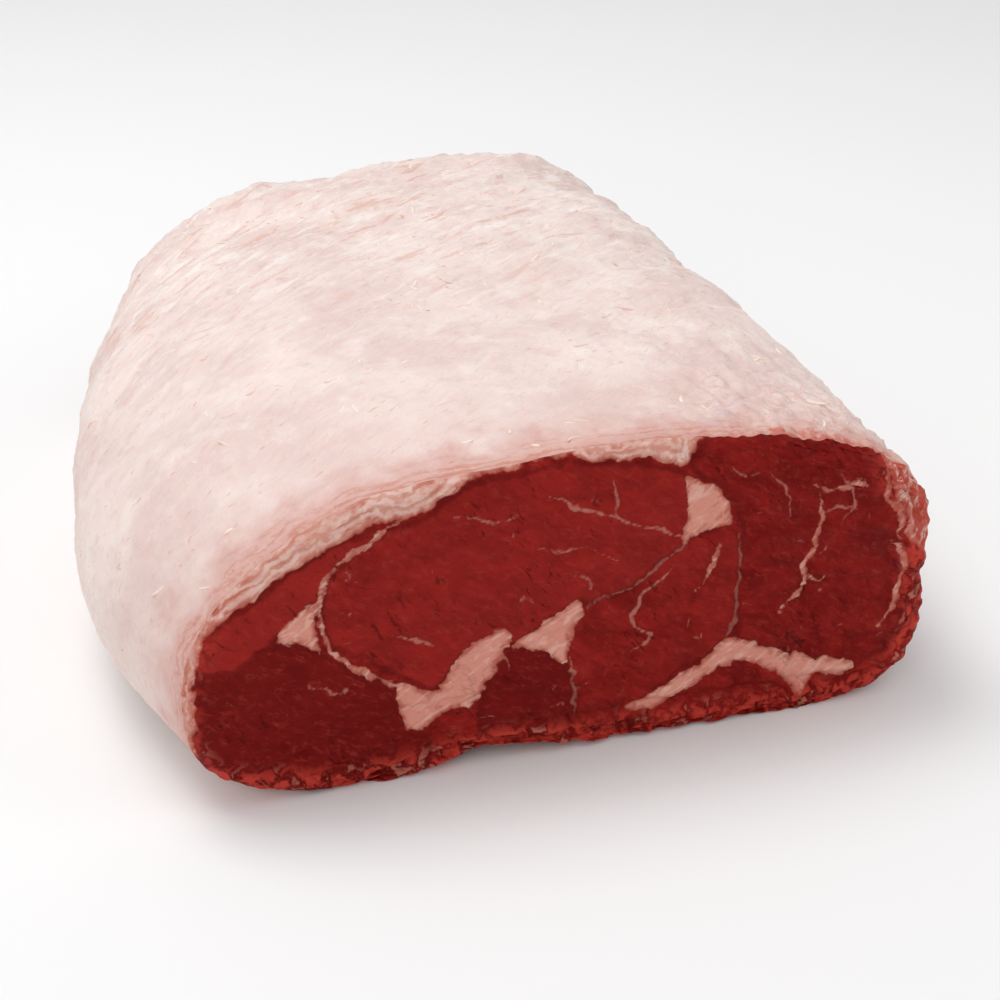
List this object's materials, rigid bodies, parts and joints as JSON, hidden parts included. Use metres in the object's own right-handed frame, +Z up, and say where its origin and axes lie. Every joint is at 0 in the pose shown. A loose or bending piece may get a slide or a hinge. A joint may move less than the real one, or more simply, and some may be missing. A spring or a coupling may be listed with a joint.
{
  "type": "raw beef rib roast",
  "caption": "Raw boneless beef rib roast with a fat cap, lying fat side up with the cut face of the eye muscle in front.",
  "frame": {"origin": "middle of the bounding box in plan, on the flat underside that the roast rests on", "axes": "+Z up out of the fat cap, +Y along the roast away from the shown cut face, +X to the right seen from the shown cut face"},
  "size_m": [0.2598, 0.302, 0.1046],
  "materials": {
    "raw_beef": "raw red beef with creamy pink fat over the top, moist satin"
  },
  "bodies": {
    "root": {"roast": "raw_beef"}
  },
  "joints": []
}
